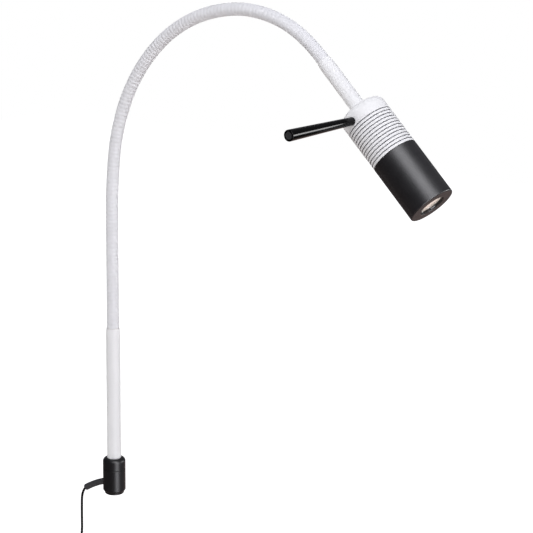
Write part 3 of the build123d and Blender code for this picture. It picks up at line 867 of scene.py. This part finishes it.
def make_floor():
    """Plain pale floor, far below the lamp.  It lights nothing and is in no reflection."""
    reach = 8.0
    corners = [(-reach, -reach), (reach, -reach), (reach, reach), (-reach, reach)]
    floor = add_mesh("floor", [(x, y, floor_height) for x, y in corners], [(0, 1, 2, 3)])
    material, tree, shader = start_material("floor_pale")
    tone = two_tone(tree, noise_of(tree, 3.0), (0.90, 0.90, 0.90), (0.93, 0.93, 0.93))
    tree.links.new(tone, shader.inputs["Base Color"])
    tree.links.new(remap(tree, noise_of(tree, 40.0), 0.75, 0.85), shader.inputs["Roughness"])
    shader.inputs["Emission Color"].default_value = (1, 1, 1, 1)
    shader.inputs["Emission Strength"].default_value = 1.0
    material.cycles.emission_sampling = "NONE"
    floor.data.materials.append(material)
    floor.visible_diffuse = False
    floor.visible_glossy = False


def make_world():
    """White to the camera.  As light it is dim: palest behind on the right, brownish below."""
    world = bpy.data.worlds.new("surroundings")
    world.use_nodes = True
    tree = world.node_tree
    background = next(n for n in tree.nodes if n.type == "BACKGROUND")
    place = tree.nodes.new("ShaderNodeTexCoord")
    front = tree.nodes.new("ShaderNodeVectorMath")
    front.operation = "DOT_PRODUCT"
    front.inputs[1].default_value = Vector((0.75, 0.45, 0.35)).normalized()
    lifted = tree.nodes.new("ShaderNodeMapRange")
    lifted.inputs["From Min"].default_value = -1.0
    ramp = tree.nodes.new("ShaderNodeValToRGB")
    stops = ramp.color_ramp
    stops.elements[0].position = 0.0
    stops.elements[0].color = (0.07, 0.07, 0.07, 1)
    stops.elements[1].position = 1.0
    stops.elements[1].color = (0.23, 0.23, 0.25, 1)
    axes = tree.nodes.new("ShaderNodeSeparateXYZ")
    depth = tree.nodes.new("ShaderNodeMapRange")
    depth.inputs["From Min"].default_value = -0.2
    depth.inputs["From Max"].default_value = -0.7
    below = tree.nodes.new("ShaderNodeMixRGB")
    below.inputs["Color2"].default_value = (0.20, 0.15, 0.14, 1)
    mix = tree.nodes.new("ShaderNodeMixRGB")
    mix.inputs["Color2"].default_value = (1, 1, 1, 1)
    path = tree.nodes.new("ShaderNodeLightPath")
    tree.links.new(place.outputs["Generated"], front.inputs[0])
    tree.links.new(place.outputs["Generated"], axes.inputs["Vector"])
    tree.links.new(front.outputs["Value"], lifted.inputs["Value"])
    tree.links.new(lifted.outputs["Result"], ramp.inputs["Fac"])
    tree.links.new(axes.outputs["Z"], depth.inputs["Value"])
    tree.links.new(ramp.outputs["Color"], below.inputs["Color1"])
    tree.links.new(depth.outputs["Result"], below.inputs["Fac"])
    tree.links.new(below.outputs["Color"], mix.inputs["Color1"])
    tree.links.new(path.outputs["Is Camera Ray"], mix.inputs["Fac"])
    tree.links.new(mix.outputs["Color"], background.inputs["Color"])
    bpy.context.scene.world = world


def from_camera_side(azimuth, elevation, distance):
    """A place this far from the middle of the lamp, in camera_azimuth's way of counting."""
    turn, rise = math.radians(azimuth), math.radians(elevation)
    way = Vector((math.sin(turn) * math.cos(rise), -math.cos(turn) * math.cos(rise),
                  math.sin(rise)))
    return middle + way * distance


make_floor()
make_world()
middle = Vector((0.27, 0, 0.40))
soft_distance = 2.7
soft_size = 1.9
area_light("key", from_camera_side(47, 52, soft_distance), middle, soft_size, 63.0,
           (0.96, 0.96, 1.0))

# Soft light on the white parts, which is in no reflection.
for name, azimuth, elevation, power in [
    ("fill_left", -40, 0, 22.0),
    ("fill_right", 75, 0, 4.0),
    ("fill_low_right", 100, -30, 43.0),
    ("fill_low_left", -20, -50, 44.0),
    ("fill_back", 219, 15, 40.0),
]:
    place = from_camera_side(azimuth, elevation, soft_distance)
    fill = area_light(name, place, middle, soft_size, power)
    fill.visible_glossy = False

# Soft boxes that only show as highlights on the black parts.
for name, azimuth, elevation, distance, width, height, power, colour in [
    ("strip", 70, -10, 2.2, 1.4, 2.2, 68.0, (0.95, 0.95, 1.0)),
    ("shoulder_glint", 65, 32, 2.6, 1.5, 0.5, 34.0, (0.97, 0.97, 1.0)),
    ("glint", 139, 3, 3.0, 1.0, 0.8, 42.0, (1.0, 1.0, 1.0)),
    ("face_glow", 193, -33, 2.6, 1.8, 1.8, 3.2, (1.0, 0.72, 0.64)),
]:
    box = area_light(name, from_camera_side(azimuth, elevation, distance), middle, width, power,
                     colour, height=height)
    box.visible_diffuse = False

bpy.context.scene.view_settings.view_transform = "Standard"
